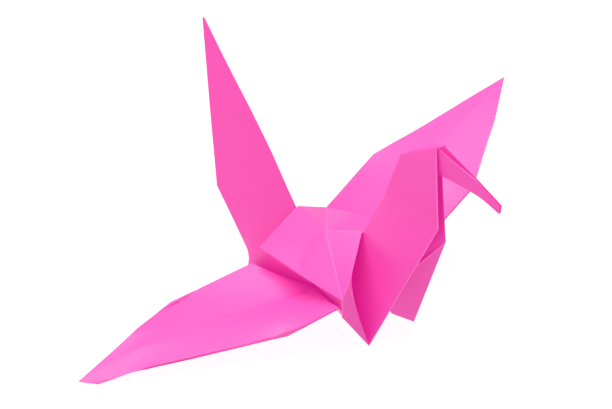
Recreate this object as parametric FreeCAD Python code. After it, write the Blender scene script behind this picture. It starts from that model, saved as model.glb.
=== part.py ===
import FreeCAD, Part
import os

os.makedirs("parts", exist_ok=True)

# A crane folded from one square sheet. X points to the neck, minus Y to the near wing, Z up,
# and the floor is Z = 0. All sizes are in millimetres and all angles in degrees.

# sheet
paper_thickness = 0.2
ply_spacing = 0.6  # from a wing's top ply to its under plies
raw_edge_gap = 0.8  # between the two raw edges under a wing
under_tip_setback = 4.0  # how far the under plies stop short of a wing's tip
spine_width = 1.0  # round of the fold down the neck and the tail

# body: the puffed top
crown_height = 22.0
crown_forward = 3.0
crown_aside = 2.7
top_front = 18.6
top_back = 12.8
top_near = 13.0
top_far = 13.8
near_front_height = 16.0
near_back_height = 14.0
far_front_height = 20.5
far_back_height = 17.0
top_skew = 3.4  # the near front corner reaches farther forward and out than the others
near_side_out = 14.0
near_side_forward = 5.3
near_side_height = 16.0
far_side_out = 11.2
far_side_height = 20.7
neck_side_forward = 13.2
neck_side_height = 24.5
tail_side_back = 9.3
tail_side_height = 23.3

# waist: the deep folds under the top, where the four flaps leave the body
waist_near_out = 6.2
waist_near_height = 8.4
waist_far_out = 7.0
waist_far_height = 11.0
waist_neck_forward = 10.5
waist_neck_height = 14.0
waist_tail_back = 3.0
waist_tail_height = 12.6

# feet: the four low corners, and the blunt end of the far front leg
front_foot_forward = 22.3
front_foot_out = 8.0
front_foot_skew = 0.6  # both front feet stand a little to the far side
heel_length = 5.4
heel_tuck = 2.1  # how far the blunt end turns in under the body
heel_height = 1.0
back_foot_back = 22.0
back_foot_out = 7.8
back_foot_skew = 0.1

# near wing: it sinks to the floor at its tip
near_reach = 66.0  # from the middle of the body out to the tip
near_taper = 38.5  # pointed part, from the bend out to the tip
near_end_taper = 15.2
near_width = 36.6
near_end_width = 10.0
near_root_out = 9.0
near_root_front = 21.6
near_root_front_out = 17.2
near_root_front_height = 14.3
near_root_back = 15.8
near_root_back_out = 10.9
near_root_back_height = 8.6
near_root_middle = 3.0
near_root_height = 7.6
near_bend_height = 4.6
near_end_height = 6.6
near_tip_height = 0.9
near_bend_sweep = -5.3
near_end_sweep = -4.8
near_tip_sweep = -10.9
near_bend_skew = 4.6
near_bend_tilt = 4.4
near_end_tilt = -6.0
near_ridge = 0.3  # how far the middle fold stands above its edges

# far wing: it is raised
far_reach = 72.1
far_taper = 38.7
far_end_taper = 15.4
far_width = 33.0
far_end_width = 13.4
far_root_out = 14.6
far_root_front = 14.2
far_root_back = 18.0
far_root_edge_out = 19.3
far_root_edge_height = 13.7
far_root_height = 18.6
far_bend_height = 25.8
far_end_height = 34.7
far_tip_height = 39.2
far_bend_sweep = 1.6
far_end_sweep = -0.4
far_tip_sweep = -3.4
far_bend_tilt = 1.8
far_end_tilt = 1.2
far_ridge = 2.0

# neck and head
nape_forward = 24.8
nape_height = 48.5
neck_spine_forward = 19.4
neck_spine_height = 35.8
neck_bend_forward = 36.8
neck_bend_height = 34.1
far_side_drop = 3.4  # the far side's bend lies lower
neck_bend_gap = 2.6
brow_forward = 35.5
brow_height = 53.4
brow_gap = 3.0
beak_reach = 53.4
beak_height = 44.1
beak_width = 0.6
head_tuck = 0.55  # how far the head's sides lie inside the neck's sides
nape_width = 1.8
throat_width = 0.7
throat_setback = 0.9

# tail
tail_reach = 42.9
tail_height = 63.9
tail_tip_width = 0.6
tail_spine_back = 19.3
tail_spine_height = 35.0
tail_bend_back = 34.3
tail_bend_height = 22.0
tail_bend_near_out = 4.6
tail_bend_far_out = 2.6
tail_root_back = 21.6  # where the tail's open edges turn out toward the back feet
tail_root_out = 4.4
tail_root_height = 5.6


def spot(x, y, z):
    return FreeCAD.Vector(x, y, z)


points = {}
facets = []


def put(name, place):
    points[name] = place


def facet(flip, *names):
    """Lay one flat facet, its upper side up, as a fan of triangles."""
    if flip:
        names = names[:1] + names[:0:-1]
    for i in range(1, len(names) - 1):
        facets.append((names[0], names[i], names[i + 1]))


def put_pair(name, forward, width, height):
    """The near and far ends of a fold that runs across a spine."""
    put(name + " near", spot(forward, -width / 2, height))
    put(name + " far", spot(forward, width / 2, height))


def body_points():
    put("crown", spot(crown_forward, -crown_aside, crown_height))
    put("corner neck near", spot(top_front + top_skew, -top_near - top_skew, near_front_height))
    put("corner neck far", spot(top_front - top_skew, top_far, far_front_height))
    put("corner tail far", spot(-top_back, top_far, far_back_height))
    put("corner tail near", spot(-top_back, -top_near + top_skew, near_back_height))
    put("side near", spot(near_side_forward, -near_side_out, near_side_height))
    put("side far", spot(0, far_side_out, far_side_height))
    put("side neck", spot(neck_side_forward, -1, neck_side_height))
    put("side tail", spot(-tail_side_back, 0, tail_side_height))
    put("waist near", spot(near_root_middle, -waist_near_out, waist_near_height))
    put("waist far", spot(0, waist_far_out, waist_far_height))
    put_pair("waist neck", waist_neck_forward, spine_width, waist_neck_height)
    put_pair("waist tail", -waist_tail_back, spine_width, waist_tail_height)
    put("foot neck near", spot(front_foot_forward, front_foot_skew - front_foot_out, 0))
    put("foot neck far", spot(front_foot_forward, front_foot_skew + front_foot_out, 0))
    put("heel", spot(front_foot_forward - heel_length,
                     front_foot_skew + front_foot_out - heel_tuck, heel_height))
    put("foot tail near", spot(-back_foot_back, back_foot_skew - back_foot_out, 0))
    put("foot tail far", spot(-back_foot_back, back_foot_skew + back_foot_out, 0))


def waist_of(side, beside):
    """The waist fold of a wing is one point, and that of a spine has a near and a far end."""
    if side in ("near", "far"):
        return "waist " + side
    return "waist %s %s" % (side, beside)


def body():
    """The puffed top, and under it the walls that run back in to the waist and down to the feet."""
    body_points()
    for first, second, corner in (("near", "neck", "neck near"), ("neck", "far", "neck far"),
                                  ("far", "tail", "tail far"), ("tail", "near", "tail near")):
        top = "corner " + corner
        foot = "foot " + corner
        facet(False, "crown", "side " + first, top)
        facet(False, "crown", top, "side " + second)
        facet(False, top, "side " + first, waist_of(first, second))
        if corner == "neck far":
            facet(False, top, waist_of(first, second), "heel", foot)
        else:
            facet(False, top, waist_of(first, second), foot)
        facet(False, top, foot, waist_of(second, first))
        facet(False, top, waist_of(second, first), "side " + second)
    facet(False, "side neck", "waist neck near", "waist neck far")
    facet(False, "side tail", "waist tail far", "waist tail near")


def row(sweep, out, height, width, skew, tilt, ridge):
    """One fold across a wing, from its neck edge over its middle to its tail edge."""
    return (spot(sweep + width / 2, out + skew / 2, height + tilt / 2),
            spot(sweep, out, height + ridge),
            spot(sweep - width / 2, out - skew / 2, height - tilt / 2))


def near_wing():
    root = (spot(near_root_front, -near_root_front_out, near_root_front_height),
            spot(near_root_middle, -near_root_out, near_root_height),
            spot(-near_root_back, -near_root_back_out, near_root_back_height))
    bend = row(near_bend_sweep, near_taper - near_reach, near_bend_height, near_width,
               near_bend_skew, near_bend_tilt, near_ridge)
    end = row(near_end_sweep, near_end_taper - near_reach, near_end_height, near_end_width,
              0, near_end_tilt, 0)
    tip = spot(near_tip_sweep, -near_reach, near_tip_height)
    wing("near", (root, bend, end), tip)


def far_wing():
    root = (spot(far_root_front, far_root_edge_out, far_root_edge_height),
            spot(2, far_root_out, far_root_height),
            spot(-far_root_back, far_root_edge_out, far_root_edge_height))
    bend = row(far_bend_sweep, far_reach - far_taper, far_bend_height, far_width,
               0, far_bend_tilt, far_ridge)
    end = row(far_end_sweep, far_reach - far_end_taper, far_end_height, far_end_width,
              0, far_end_tilt, far_ridge / 4)
    tip = spot(far_tip_sweep, far_reach, far_tip_height)
    wing("far", (root, bend, end), tip)


def wing(side, rows, tip):
    """One wing: the upper ply, and the two under plies whose raw edges meet on the middle line."""
    put("tip " + side, tip)
    stations = ("root", "bend", "end")
    for station, places in zip(stations, rows):
        for part, place in zip(("neck", "middle", "tail"), places):
            put("%s %s %s" % (station, side, part), place)
    middle = ["waist " + side] + ["%s %s middle" % (s, side) for s in stations]
    for end in ("neck", "tail"):
        flip = (side == "near") == (end == "neck")
        edge = ["foot %s %s" % (end, side)] + ["%s %s %s" % (s, side, end) for s in stations]
        for i in range(3):
            facet(flip, edge[i], edge[i + 1], middle[i])
            facet(flip, edge[i + 1], middle[i + 1], middle[i])
        facet(flip, edge[3], "tip " + side, middle[3])
        under_plies(side, end, flip, edge[1:], middle[1:])


def under_plies(side, end, flip, edge, middle):
    """Fold the edge over and carry the under ply back to its raw edge."""
    down = spot(0, 0, -ply_spacing)
    toward = spot(raw_edge_gap / 2 if end == "neck" else -raw_edge_gap / 2, 0, 0)
    tag = " under " + end
    for name in edge:
        put(name + tag, points[name] + down)
    for name in middle:
        put(name + tag, points[name] + down + toward)
    tip = points["tip " + side]
    back = points[middle[2]] - tip
    back.normalize()
    put("tip " + side + tag, tip + back * under_tip_setback + down + toward)
    for i in range(2):
        facet(flip, edge[i], edge[i] + tag, edge[i + 1] + tag, edge[i + 1])
        facet(flip, edge[i] + tag, middle[i] + tag, edge[i + 1] + tag)
        facet(flip, middle[i] + tag, middle[i + 1] + tag, edge[i + 1] + tag)
    facet(flip, edge[2], edge[2] + tag, "tip " + side + tag, "tip " + side)
    facet(flip, edge[2] + tag, middle[2] + tag, "tip " + side + tag)


def neck():
    """Two sides that share a spine, with the head turned inside out between them."""
    put_pair("neck spine", neck_spine_forward, spine_width, neck_spine_height)
    put_pair("nape", nape_forward, nape_width, nape_height)
    put_pair("throat", nape_forward + throat_setback, throat_width, nape_height - throat_setback / 2)
    put("bend neck near", spot(neck_bend_forward, -neck_bend_gap / 2, neck_bend_height))
    put("bend neck far", spot(neck_bend_forward, neck_bend_gap / 2, neck_bend_height - far_side_drop))
    put_pair("brow", brow_forward, brow_gap, brow_height)
    put_pair("crest", brow_forward, brow_gap - 2 * head_tuck, brow_height)
    put_pair("beak", beak_reach, beak_width, beak_height)
    facet(False, "waist neck near", "neck spine near", "neck spine far", "waist neck far")
    facet(False, "neck spine near", "nape near", "nape far", "neck spine far")
    facet(False, "nape near", "throat near", "throat far", "nape far")
    facet(False, "throat near", "beak near", "beak far", "throat far")
    for side in ("near", "far"):
        flip = side == "far"
        foot = "foot neck " + side
        if side == "far":
            facet(True, "bend neck far", "neck spine far", "waist neck far", "heel", foot)
        else:
            facet(False, "bend neck near", "neck spine near", "waist neck near", foot)
        facet(flip, "bend neck " + side, "brow " + side, "nape " + side, "neck spine " + side)
        facet(flip, "brow " + side, "crest " + side, "throat " + side, "nape " + side)
        facet(flip, "crest " + side, "beak " + side, "throat " + side)


def tail():
    """Two sides that share a spine and open toward the back."""
    put_pair("tail spine", -tail_spine_back, spine_width, tail_spine_height)
    put_pair("tail tip", -tail_reach, tail_tip_width, tail_height)
    put("bend tail near", spot(-tail_bend_back, -tail_bend_near_out, tail_bend_height))
    put("bend tail far", spot(-tail_bend_back, tail_bend_far_out, tail_bend_height))
    put_pair("root tail", -tail_root_back, 2 * tail_root_out, tail_root_height)
    facet(False, "waist tail far", "tail spine far", "tail spine near", "waist tail near")
    facet(False, "tail spine far", "tail tip far", "tail tip near", "tail spine near")
    for side in ("near", "far"):
        flip = side == "near"
        facet(flip, "waist tail " + side, "foot tail " + side, "root tail " + side,
              "bend tail " + side, "tail spine " + side)
        facet(flip, "bend tail " + side, "tail tip " + side, "tail spine " + side)


def lifts():
    """The way each point moves off the middle of the paper to reach the paper's upper face."""
    normals = {}
    for names in facets:
        a, b, c = (points[n] for n in names)
        normal = (b - a).cross(c - a)
        normal.normalize()
        for n in names:
            kept = normals.setdefault(n, [])
            if all(normal.dot(other) < 0.995 for other in kept):
                kept.append(normal)
    result = {}
    for n, kept in normals.items():
        lift = spot(0, 0, 0)
        for normal in kept:
            lift = lift + normal
        lift.normalize()
        for step in range(60):
            for normal in kept:
                lift = lift + normal * ((1 - normal.dot(lift)) * 0.3)
        if lift.Length > 1.8:
            lift = lift * (1.8 / lift.Length)
        if n.startswith("foot"):
            lift.z = 0
        result[n] = lift
    return result


def thick_sheet():
    """Close the two faces of the paper and its rim into one solid."""
    lift = lifts()
    half = paper_thickness / 2
    upper = {n: points[n] + lift[n] * half for n in lift}
    lower = {n: points[n] - lift[n] * half for n in lift}
    rings = []
    sides = set()
    for a, b, c in facets:
        rings.append((upper[a], upper[b], upper[c]))
        rings.append((lower[a], lower[c], lower[b]))
        sides.update(((a, b), (b, c), (c, a)))
    for start, end in sorted(sides):
        if (end, start) not in sides:
            rings.append((upper[start], lower[start], lower[end]))
            rings.append((upper[start], lower[end], upper[end]))
    faces = [Part.Face(Part.makePolygon([a, b, c, a])) for a, b, c in rings]
    shell = Part.makeShell(faces)
    shell.sewShape()
    solid = Part.makeSolid(shell)
    if solid.Volume < 0:
        solid.reverse()
    return solid


def centred(sheet):
    """Bring the middle of the crane over the origin, and leave its feet on the floor."""
    box = sheet.BoundBox
    sheet.translate(spot(-(box.XMin + box.XMax) / 2, -(box.YMin + box.YMax) / 2, 0))
    return sheet


body()
near_wing()
far_wing()
neck()
tail()
crane = centred(thick_sheet())
print("valid", crane.isValid(), "volume", round(crane.Volume, 1), crane.BoundBox)
crane.exportStep("parts/folded_crane.step")
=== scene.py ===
import math
import bpy
import bmesh
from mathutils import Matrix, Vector, noise


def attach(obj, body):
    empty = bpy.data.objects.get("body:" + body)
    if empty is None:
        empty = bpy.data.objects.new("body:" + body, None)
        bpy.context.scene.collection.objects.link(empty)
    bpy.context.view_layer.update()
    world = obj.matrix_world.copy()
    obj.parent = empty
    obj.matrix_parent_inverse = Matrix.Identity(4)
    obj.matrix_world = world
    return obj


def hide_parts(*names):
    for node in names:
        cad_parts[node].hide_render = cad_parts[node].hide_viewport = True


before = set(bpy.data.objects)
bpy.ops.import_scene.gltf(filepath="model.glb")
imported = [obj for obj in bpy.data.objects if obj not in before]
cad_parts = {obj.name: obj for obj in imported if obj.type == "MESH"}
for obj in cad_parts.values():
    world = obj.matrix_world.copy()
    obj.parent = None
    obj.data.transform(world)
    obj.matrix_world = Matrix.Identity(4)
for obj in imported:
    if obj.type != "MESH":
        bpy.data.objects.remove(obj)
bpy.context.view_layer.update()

mm = 0.001

# the paper as the camera sees it
paper = {
    "thickness": 0.16,  # mm, two plies pressed together
    "plySpacing": 0.5,  # mm, from a wing's top ply to its under plies
    "rawEdgeGap": 0.7,  # mm, between the two raw edges under a wing
    "underTipSetback": 0.1,  # how far the under plies stop short of the tip
    "spineWidth": 0.7,  # mm, round of a fold that runs down a spine
    "fineness": 3,  # rounds of subdivision
    "waviness": 0.16,  # mm, how far a flat panel wanders
    "waveLength": 17.0,  # mm
    "splitAngle": 28.0,  # a sharper fold than this keeps a hard edge
    "rimClamp": 1.5,  # keeps the two faces of the paper from crossing at a fold
    "stillHeight": 4.0,  # mm, the panels wander less below this, and the feet stay put
    "middle": (5.25, 3.05),  # mm, the middle of the crane, counted as the folds below are
}

# how sharp the folds are, from 0 for a soft bend to 1 for a pressed fold
sharpness = {
    "pressed": 1.0,
    "rim": 0.95,  # round the top of the body
    "wingFold": 0.9,  # along the middle of a wing, up to its bend
    "wall": 0.8,
    "diagonal": 0.75,  # from the crown to a corner
    "turnedCorner": 0.7,
    "crownFold": 0.6,
    "wingTip": 0.35,
    "kink": 0.6,  # at a corner where a loose edge changes its way
}

points = {}
facets = []
sharpEdges = {}
middleX, middleY = paper["middle"]


def put(name, place):
    points[name] = Vector((place[0] - middleX, place[1] - middleY, place[2]))


def facet(flip, *names):
    facets.append(tuple(reversed(names)) if flip else names)


def crease(kind, *names):
    for a, b in zip(names, names[1:]):
        sharpEdges[frozenset((a, b))] = sharpness[kind]


def putPair(name, place, halfWidth):
    x, y, z = place
    put(name + "Near", (x, y - halfWidth, z))
    put(name + "Far", (x, y + halfWidth, z))


def waistOf(side, beside):
    return "waist" + side if side in ("Near", "Far") else "waist" + side + beside


body = {
    "crown": (3.0, -2.7, 22.0),
    "cornerNeckNear": (22.0, -16.4, 16.0),
    "turn": (22.1, -14.6, 18.6),  # where the neck's edge of the top turns down to the foot
    "shin": (21.7, -16.2, 11.4),
    "cornerNeckFar": (15.2, 13.8, 20.5),
    "cornerTailFar": (-12.8, 13.8, 17.0),
    "cornerTailNear": (-12.8, -9.6, 14.0),
    "sideNear": (4.5, -13.0, 14.6),
    "sideNeck": (13.2, -1.0, 24.5),
    "sideFar": (0.0, 11.2, 20.7),
    "sideTail": (-9.3, 0.0, 23.3),
    "dimple": (-0.5, -7.4, 17.2),  # a soft dent from blowing the body up
    "waistNear": (3.0, -6.2, 8.4),
    "waistNeck": (8.5, 0.0, 15.0),
    "waistFar": (0.0, 7.0, 11.0),
    "waistTail": (-3.0, 0.0, 12.6),
    "footNeckNear": (22.3, -7.4, 0.1),
    "footNeckFar": (22.3, 8.6, 0.1),
    "heel": (16.9, 6.5, 1.0),
    "footTailFar": (-22.0, 7.9, 0.1),
    "footTailNear": (-22.0, -7.7, 0.1),
}


def layBody():
    for name, place in body.items():
        if name in ("waistNeck", "waistTail"):
            putPair(name, place, paper["spineWidth"] / 2)
        else:
            put(name, place)
    for first, second, corner in (("Near", "Neck", "NeckNear"), ("Neck", "Far", "NeckFar"),
                                  ("Far", "Tail", "TailFar"), ("Tail", "Near", "TailNear")):
        top, foot = "corner" + corner, "foot" + corner
        waistA, waistB = waistOf(first, second), waistOf(second, first)
        facet(False, "crown", "side" + first, top)
        turned = ("turn",) if corner == "NeckNear" else ()
        if corner == "TailNear":
            facet(False, "crown", top, "dimple")
            facet(False, "dimple", top, "sideNear")
            facet(False, "crown", "dimple", "sideNear")
            crease("crownFold", "crown", "dimple", "sideNear")
        else:
            facet(False, "crown", top, *turned, "side" + second)
        facet(False, top, "side" + first, waistA)
        if corner == "NeckFar":
            facet(False, top, waistA, "heel", foot)
        elif corner == "NeckNear":
            facet(False, top, waistA, foot, "shin")
            facet(False, top, "shin", foot, "turn")
            top = "turn"
            crease("pressed", "turn", "sideNeck")
            crease("pressed", "cornerNeckNear", "shin", foot, waistA)
            crease("turnedCorner", "cornerNeckNear", "turn")
        else:
            facet(False, top, waistA, foot)
        facet(False, top, foot, *(("groove",) if top == "turn" else ()), waistB)
        facet(False, top, waistB, "side" + second)
        crease("rim", "side" + first, "corner" + corner, "side" + second)
        crease("pressed", top, foot)
        if corner != "NeckNear":
            crease("pressed", waistA, foot, waistB)
        crease("diagonal", "crown", "corner" + corner)
        crease("crownFold", "crown", "side" + first)
        crease("wall", "side" + first, waistA)
    crease("pressed", "waistNeckFar", "heel", "footNeckFar")
    for end in ("Neck", "Tail"):
        near, far = "waist" + end + "Near", "waist" + end + "Far"
        facet(end == "Tail", "side" + end, near, far)
        crease("pressed", near, far)


# each row of a wing runs from its edge at the neck over its middle to its edge at the tail
nearWing = {
    "root": ((21.6, -17.2, 14.3), (3.0, -9.0, 7.6), (-14.2, -11.2, 9.5)),
    "bend": ((13.0, -25.2, 6.8), (-4.3, -28.3, 5.6), (-21.6, -31.4, 3.8)),
    "end": ((-3.2, -53.6, 3.3), (-9.2, -50.2, 4.6), (-15.2, -46.8, 5.6)),
    "toe": (-9.2, -63.4, 0.35),  # the tip is blunt, from here to its point
    "tip": (-12.4, -66.4, 0.9),
}

farWing = {
    "root": ((14.2, 19.3, 13.7), (2.0, 14.6, 18.6), (-18.0, 19.3, 13.7)),
    "bend": ((18.6, 33.4, 27.0), (1.6, 33.4, 27.8), (-14.9, 33.4, 24.9)),
    "end": ((6.3, 56.7, 35.3), (-0.4, 56.7, 35.2), (-7.1, 56.7, 34.1)),
    "tip": (-3.4, 72.1, 39.2),
}


def layWing(side, rows):
    put("tip" + side, rows["tip"])
    if "toe" in rows:
        put("toe" + side, rows["toe"])
    stations = ("root", "bend", "end")
    for end, column in (("Neck", 0), ("Tail", 2)):
        flip = (side == "Near") == (end == "Neck")
        for station in stations:
            put(station + side + end, rows[station][column])
            put(station + side + "Middle", rows[station][1])
        edge = ["foot" + end + side] + [s + side + end for s in stations]
        middle = ["waist" + side] + [s + side + "Middle" for s in stations]
        facet(flip, edge[0], edge[1], middle[0])
        facet(flip, edge[1], middle[1], middle[0])
        for i in (1, 2):
            facet(flip, edge[i], edge[i + 1], middle[i + 1], middle[i])
        last = ["toe" + side, "tip" + side] if "toe" in rows and end == "Neck" else ["tip" + side]
        facet(flip, edge[3], *last, middle[3])
        crease("pressed", *edge, *last)
        crease("wingFold", *middle[:3])
        crease("wingTip", *middle[2:], "tip" + side)
        crease("wall", edge[1], middle[1])
        layUnderPlies(side, end, flip, edge[1:], middle[1:], last[0])


def layUnderPlies(side, end, flip, edge, middle, last):
    tag = "Under" + end
    down = Vector((0, 0, -paper["plySpacing"]))
    toward = Vector((paper["rawEdgeGap"] / 2 * (1 if end == "Neck" else -1), 0, 0))
    for name in edge:
        points[name + tag] = points[name] + down
    for name in middle:
        points[name + tag] = points[name] + down + toward
    tip = points["tip" + side]
    setback = (points[middle[2]] - tip) * paper["underTipSetback"]
    points["tip" + side + tag] = tip + setback + down + toward
    for i in (0, 1):
        facet(flip, edge[i], edge[i] + tag, edge[i + 1] + tag, edge[i + 1])
        facet(flip, edge[i] + tag, middle[i] + tag, middle[i + 1] + tag, edge[i + 1] + tag)
    facet(flip, edge[2], edge[2] + tag, "tip" + side + tag, last)
    facet(flip, edge[2] + tag, middle[2] + tag, "tip" + side + tag)
    crease("pressed", *[name + tag for name in edge], "tip" + side + tag)


neck = {
    "bendNear": (36.8, -1.3, 34.1),
    "bendFar": (37.0, 1.3, 30.1),
    "frontFar": (35.2, 1.2, 45.5),
    "spine": (19.4, 0.0, 35.8),
    "groove": (14.0, -5.0, 4.1),  # where the near side turns back under the body
    "swell": (25.0, -5.6, 15.2),  # the near side bulges a little here
    "legFold": (26.4, 3.4, 19.1),  # the far leg's own ply stands in front from here down
    "legPly": (27.3, 2.2, 19.5),
    "nape": (24.8, 0.0, 48.5),
    "throat": (25.7, 0.0, 48.05),
    "browNear": (35.5, -1.5, 53.4),
    "browFar": (35.5, 1.5, 53.4),
    "ridgeFar": (32.25, 1.6, 52.3),
    "crestNear": (46.4, -0.8, 49.25),
    "crestFar": (45.5, 0.5, 48.9),
    "jaw": (46.7, 0.0, 45.7),
    "beak": (52.7, 0.0, 45.1),
    "chin": (52.5, 0.0, 43.25),
    "headInset": 0.55,  # mm, from a side of the neck in to the turned head
    "napeHalfWidth": 0.9,
    "jawHalfWidth": 0.35,
    "beakHalfWidth": 0.3,
}


def layNeck():
    putPair("spine", neck["spine"], paper["spineWidth"] / 2)
    putPair("nape", neck["nape"], neck["napeHalfWidth"])
    for name in ("throat", "jaw"):
        putPair(name, neck[name], neck["jawHalfWidth"])
    for name in ("beak", "chin"):
        putPair(name, neck[name], neck["beakHalfWidth"])
    for name in ("bendNear", "bendFar", "frontFar", "groove", "swell", "legFold", "legPly",
                 "browNear", "browFar", "ridgeFar", "crestNear", "crestFar"):
        put(name, neck[name])
    for side, sign in (("Near", 1), ("Far", -1)):
        x, y, z = neck["brow" + side]
        put("tuck" + side, (x, y + sign * neck["headInset"], z))
    for lower, upper in (("waistNeck", "spine"), ("spine", "nape"), ("nape", "throat"), ("throat", "jaw"),
                         ("jaw", "chin")):
        facet(False, lower + "Near", upper + "Near", upper + "Far", lower + "Far")
    around = ("bendNear", "spineNear", "waistNeckNear", "groove", "footNeckNear")
    for first, second in zip(around, around[1:] + around[:1]):
        facet(False, "swell", first, second)
    facet(False, "bendNear", "browNear", "napeNear", "spineNear")
    facet(True, "bendFar", "spineFar", "waistNeckFar", "legFold")
    facet(True, "legFold", "waistNeckFar", "heel", "legPly")
    facet(True, "bendFar", "legFold", "legPly")
    facet(True, "bendFar", "legPly", "heel", "footNeckFar")
    facet(True, "bendFar", "frontFar", "browFar", "ridgeFar", "napeFar", "spineFar")
    crease("pressed", "bendFar", "legFold", "legPly", "bendFar")
    crease("pressed", "waistNeckNear", "groove", "footNeckNear")
    for side in ("Near", "Far"):
        flip = side == "Far"
        ridge = ("ridgeFar",) if flip else ()
        facet(flip, "brow" + side, "tuck" + side, "throat" + side, "nape" + side, *ridge)
        facet(flip, "tuck" + side, "crest" + side, "jaw" + side, "throat" + side)
        facet(flip, "crest" + side, "beak" + side, "chin" + side, "jaw" + side)
        crease("pressed", "waistNeck" + side, "spine" + side, "nape" + side, *ridge, "brow" + side,
               "tuck" + side)
        crease("pressed", "tuck" + side, "throat" + side, "nape" + side)
        crease("pressed", "throat" + side, "jaw" + side, "chin" + side)


tail = {
    "bendNear": (-34.3, -4.6, 22.0),
    "bendFar": (-34.3, 2.6, 22.0),
    "rootNear": (-21.6, -4.4, 5.6),
    "rootFar": (-21.6, 4.4, 5.6),
    "spine": (-19.3, 0.0, 35.0),
    "tip": (-42.9, 0.0, 63.9),
    "tipHalfWidth": 0.3,
}


def layTail():
    putPair("tailSpine", tail["spine"], paper["spineWidth"] / 2)
    putPair("tailTip", tail["tip"], tail["tipHalfWidth"])
    facet(False, "waistTailFar", "tailSpineFar", "tailSpineNear", "waistTailNear")
    facet(False, "tailSpineFar", "tailTipFar", "tailTipNear", "tailSpineNear")
    for side in ("Near", "Far"):
        put("bendTail" + side, tail["bend" + side])
        flip = side == "Near"
        foot, bend, spine, tip = "footTail" + side, "bendTail" + side, "tailSpine" + side, "tailTip" + side
        root = "rootTail" + side
        put(root, tail["root" + side])
        facet(flip, "waistTail" + side, foot, root, bend, spine)
        facet(flip, bend, tip, spine)
        crease("pressed", "waistTail" + side, spine, tip)
        crease("pressed", foot, root, bend, tip)


layBody()
layWing("Near", nearWing)
layWing("Far", farWing)
layNeck()
layTail()
print("folds laid:", len(facets), "facets")


def foldSheet():
    mesh = bmesh.new()
    creaseLayer = mesh.edges.layers.float.new("crease_edge")
    cornerLayer = mesh.verts.layers.float.new("crease_vert")
    verts = {name: mesh.verts.new(place * mm) for name, place in points.items()}
    for names in facets:
        mesh.faces.new([verts[n] for n in names])
    nameOf = {vert: name for name, vert in verts.items()}
    for edge in mesh.edges:
        ends = frozenset(nameOf[vert] for vert in edge.verts)
        edge[creaseLayer] = sharpEdges.get(ends, 1.0 if edge.is_boundary else 0.0)
    for name, vert in verts.items():
        kink = name.startswith(("bend", "end", "root", "crest", "jaw", "front", "groove"))
        vert[cornerLayer] = sharpness["kink"] if kink else 1.0
        if name in ("swell", "dimple"):
            vert[cornerLayer] = 0.0
    data = bpy.data.meshes.new("foldedCrane")
    mesh.to_mesh(data)
    mesh.free()
    piece = bpy.data.objects.new("foldedCrane", data)
    bpy.context.collection.objects.link(piece)
    return piece


def softenSheet(cage):
    rounds = cage.modifiers.new("soften", "SUBSURF")
    rounds.levels = rounds.render_levels = paper["fineness"]
    rounds.boundary_smooth = "PRESERVE_CORNERS"
    rounds.use_limit_surface = False
    bpy.context.view_layer.update()
    soft = bpy.data.meshes.new_from_object(cage.evaluated_get(bpy.context.evaluated_depsgraph_get()))
    cage.modifiers.clear()
    cage.data = soft
    for vert in soft.vertices:
        place = vert.co / (paper["waveLength"] * mm)
        lift = min(1.0, vert.co.z / (paper["stillHeight"] * mm))
        vert.co += vert.normal * noise.noise(place) * paper["waviness"] * mm * lift
    for face in soft.polygons:
        face.use_smooth = True
    soft.update()


def thicken(piece):
    ply = piece.modifiers.new("thickness", "SOLIDIFY")
    ply.thickness = paper["thickness"] * mm
    ply.offset = 0
    ply.use_even_offset = False
    ply.thickness_clamp = paper["rimClamp"]
    ply.use_rim = True
    edges = piece.modifiers.new("edges", "EDGE_SPLIT")
    edges.split_angle = math.radians(paper["splitAngle"])


crane = foldSheet()
softenSheet(crane)
thicken(crane)
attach(crane, "root")
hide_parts("folded_crane")
print("sheet softened:", len(crane.data.vertices), "points")


class Sock:
    def __init__(self, maker, socket):
        self.maker, self.socket = maker, socket

    def _math(self, operation, *values, clamp=False):
        return self.maker.node("ShaderNodeMath", {"operation": operation, "use_clamp": clamp}, *values)

    def __add__(self, other):
        return self._math("ADD", self, other)

    def __mul__(self, other):
        return self._math("MULTIPLY", self, other)

    def __sub__(self, other):
        return self._math("SUBTRACT", self, other)

    def __rsub__(self, other):
        return self._math("SUBTRACT", other, self)

    __radd__ = __add__
    __rmul__ = __mul__

    def held(self):
        return self._math("ADD", self, 0.0, clamp=True)

    def over(self, other):
        return self._math("DIVIDE", self, other, clamp=True)

    def atLeast(self, other):
        return self._math("MAXIMUM", self, other)


class Maker:
    def __init__(self, name):
        self.material = bpy.data.materials.new(name)
        self.material.use_nodes = True
        self.tree = self.material.node_tree
        self.shader = self.tree.nodes["Principled BSDF"]

    def node(self, kind, settings, *values, out=0, **named):
        made = self.tree.nodes.new(kind)
        for key, value in settings.items():
            setattr(made, key, value)
        for key, value in list(enumerate(values)) + list(named.items()):
            self.feed(made.inputs[key.replace("_", " ") if isinstance(key, str) else key], value)
        return Sock(self, made.outputs[out])

    def feed(self, socket, value):
        if isinstance(value, Sock):
            self.tree.links.new(value.socket, socket)
        else:
            socket.default_value = value

    def vector(self, operation, *values, out=0):
        return self.node("ShaderNodeVectorMath", {"operation": operation}, *values, out=out)

    def mix(self, share, first, second):
        made = self.node("ShaderNodeMix", {"data_type": "RGBA"}, share, out=2)
        for index, colour in ((6, first), (7, second)):
            value = colour if isinstance(colour, Sock) else (*colour, 1.0)
            self.feed(made.socket.node.inputs[index], value)
        return made


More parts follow.
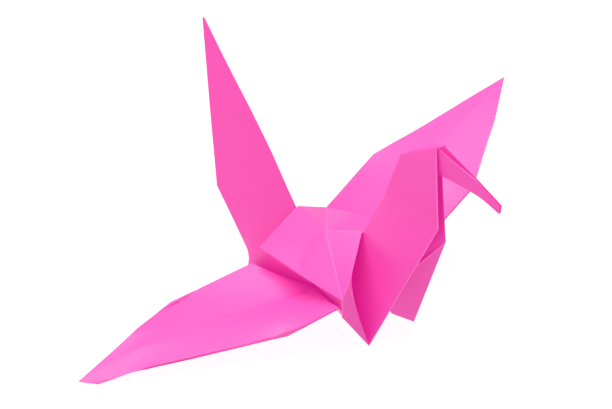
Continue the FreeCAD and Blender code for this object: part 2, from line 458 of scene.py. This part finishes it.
look = {
    "pink": (0.62, 0.038, 0.29),
    "deepPink": (0.59, 0.03, 0.265),
    "paintedGlow": (0.24, 0.0, 0.14),  # painted glow: a pink emission that stands in for light that thin paper lets through and bounces into its folds
    "cloudScale": 60.0,
    "cloudDetail": 4.0,
    "cloudShare": 0.6,
    "grainScale": 2500.0,
    "grainDetail": 3.0,
    "grainShare": 0.4,
    "grainStrength": 0.5,
    "grainDepth": 0.05,  # mm
    "roughness": 0.55,
    "gloss": 0.8,
    # painted highlight for lit fold ridges and edges, then painted shade for shaded fold valleys
    "paintedFoldHighlight": (0.86, 0.16, 0.52),
    "deepFold": (0.50, 0.004, 0.22),
    "foldWidth": 0.38,  # mm
    "foldHeight": 0.05,  # mm
    "bloom": 0.15,  # the paper's fuzz, which pales it where it is seen at a slant
}

# painted highlight and painted shade along the folds, as lines where a ridge catches the light or a valley
# lies in shade: their corners, their strength and how far they fade out
paintedFoldLines = {
    "paintedHighlight": (
        ("crown", "cornerTailFar", 0.5, 0.2),
        ("crown", "sideNeck", 0.35, 0.0),
        ("crown", "cornerNeckNear", 0.45, 0.0),
        ("bendNear", "browNear", 0.8, 0.0),
        ("footNeckNear", "bendNear", 0.5, 0.0),
        ("browNear", "crestNear", 0.7, 0.3),
        ("bendFar", "legPly", 0.5, 0.0),
        ("cornerNeckNear", "shin", 0.6, 0.0),
        ("bendFarNeck", "endFarNeck", 0.5, 0.3),
        ("cornerTailNear", "sideTail", 0.35, 0.0),
    ),
    # painted shade in the fold valleys and along the near wing's middle crease
    "deep": (
        ("crown", "sideTail", 0.75, 0.3),
        ("crown", "dimple", 0.9, 0.4),
        ("bendNearMiddle", "rootNearMiddle", 0.9, 0.2),
        ("bendNearMiddle", "endNearMiddle", 0.7, 1.0),
        ("crown", "sideFar", 0.35, 0.6),
        ("spineNear", "bendNear", 0.2, 0.8),
    ),
}


def foldMask(made, where, lines):
    mask = 0.0  # 1 on a fold line, down to 0 at the line's edge
    for first, last, strength, fade in lines:
        start, run = points[first] * mm, (points[last] - points[first]) * mm
        offset = made.vector("SUBTRACT", where, tuple(start))
        along = made.vector("DOT_PRODUCT", offset, tuple(run / run.length_squared), out=1).held()
        foot = made.node("ShaderNodeVectorMath", {"operation": "SCALE"}, tuple(run), Scale=along)
        gap = made.vector("DISTANCE", offset, foot, out=1).over(look["foldWidth"] * mm)
        line = (1.0 - gap) * (1.0 - along * fade) * strength
        mask = line.atLeast(mask)
    return mask


def paperFinish():
    made = Maker("pinkPaper")
    where = made.node("ShaderNodeTexCoord", {}, out=3)
    cloud = made.node("ShaderNodeTexNoise", {}, Vector=where, Scale=look["cloudScale"],
                      Detail=look["cloudDetail"])
    fibres = made.node("ShaderNodeTexNoise", {}, Vector=where, Scale=look["grainScale"],
                       Detail=look["grainDetail"])
    # where the painted highlight and the painted shade lie along the folds
    paintedHighlight = foldMask(made, where, paintedFoldLines["paintedHighlight"])
    deep = foldMask(made, where, paintedFoldLines["deep"])
    cloudy = cloud * look["cloudShare"] + fibres * look["grainShare"]
    tone = made.mix(cloudy, look["pink"], look["deepPink"])
    # paint the fold highlights, then the fold shade, over the paper's own tone
    tone = made.mix(paintedHighlight, tone, look["paintedFoldHighlight"])
    tone = made.mix(deep, tone, look["deepFold"])
    made.feed(made.shader.inputs["Base Color"], tone)
    relief = made.node("ShaderNodeBump", {}, Distance=look["foldHeight"] * mm, Height=paintedHighlight - deep)
    grain = made.node("ShaderNodeBump", {}, Strength=look["grainStrength"],
                      Distance=look["grainDepth"] * mm, Height=fibres, Normal=relief)
    made.feed(made.shader.inputs["Normal"], grain)
    made.feed(made.shader.inputs["Roughness"], look["roughness"])
    made.feed(made.shader.inputs["Specular IOR Level"], look["gloss"])
    made.feed(made.shader.inputs["Sheen Weight"], look["bloom"])
    # painted glow: the paper gives off this pink light everywhere, whatever the lamps do
    made.feed(made.shader.inputs["Emission Color"], (*look["paintedGlow"], 1.0))
    made.feed(made.shader.inputs["Emission Strength"], 1.0)
    return made.material


crane.data.materials.clear()
crane.data.materials.append(paperFinish())
print("paper finished")


studio = {
    "floorSize": 6.0,  # m
    "floorTone": (0.12, 0.12, 0.12),
    "floorRoughness": 0.9,
    "floorGloss": 0.1,
    "floorGlow": 0.94,  # lights the ground up to white
    "worldStrength": 0.4,
    "lampTone": (1.0, 0.99, 0.84),
    "lampAim": (0.0, 0.0, 0.02),  # m
    "lamps": {  # place, size in m, power in W
        "top": ((-0.15, -0.1, 0.9), 1.0, 16.0),
        "front": ((0.5, -0.9, 0.6), 0.8, 1.0),
    },
}


def layFloor():
    bpy.ops.mesh.primitive_plane_add(size=studio["floorSize"], location=(0, 0, 0))
    floor = bpy.context.object
    floor.name = "floor"
    made = Maker("paleFloor")
    made.feed(made.shader.inputs["Base Color"], (*studio["floorTone"], 1.0))
    made.feed(made.shader.inputs["Roughness"], studio["floorRoughness"])
    made.feed(made.shader.inputs["Specular IOR Level"], studio["floorGloss"])
    made.feed(made.shader.inputs["Emission Color"], (1.0, 1.0, 1.0, 1.0))
    made.feed(made.shader.inputs["Emission Strength"], studio["floorGlow"])
    floor.data.materials.append(made.material)


def lightStudio():
    world = bpy.data.worlds.new("studio")
    bpy.context.scene.world = world
    world.use_nodes = True
    background = world.node_tree.nodes["Background"]
    background.inputs["Color"].default_value = (1, 1, 1, 1)
    background.inputs["Strength"].default_value = studio["worldStrength"]
    for name, (place, size, power) in studio["lamps"].items():
        light = bpy.data.lights.new(name, "AREA")
        light.size = size
        light.energy = power
        light.color = studio["lampTone"]
        lamp = bpy.data.objects.new(name, light)
        lamp.location = place
        toward = Vector(studio["lampAim"]) - lamp.location
        lamp.rotation_euler = toward.to_track_quat("-Z", "Y").to_euler()
        bpy.context.collection.objects.link(lamp)


camera = {
    "azimuth": 45.42,  # degrees round from the minus Y side towards plus X
    "elevation": 26.21,
    "distance": 355.8,  # mm
    "target": (0.0, 0.0, 22.5),
    "slideRight": -4.54,  # mm
    "slideUp": 4.05,
    "lens": 86.17,
    "farthest": 20.0,  # m, nothing beyond is seen
}


def setCamera():
    azimuth, elevation = math.radians(camera["azimuth"]), math.radians(camera["elevation"])
    level = math.cos(elevation)
    back = Vector((math.sin(azimuth) * level, -math.cos(azimuth) * level, math.sin(elevation)))
    right = Vector((math.cos(azimuth), math.sin(azimuth), 0))
    up = back.cross(right)
    data = bpy.data.cameras.new("camera")
    data.lens = camera["lens"]
    data.clip_end = camera["farthest"]
    lookout = bpy.data.objects.new("camera", data)
    target = Vector(camera["target"]) - Vector((middleX, middleY, 0))
    place = target + back * camera["distance"] + right * camera["slideRight"] + up * camera["slideUp"]
    lookout.location = place * mm
    lookout.rotation_euler = back.to_track_quat("Z", "Y").to_euler()
    bpy.context.collection.objects.link(lookout)
    bpy.context.scene.camera = lookout


bpy.context.scene.view_settings.view_transform = "Standard"
layFloor()
lightStudio()
setCamera()
print("studio set")
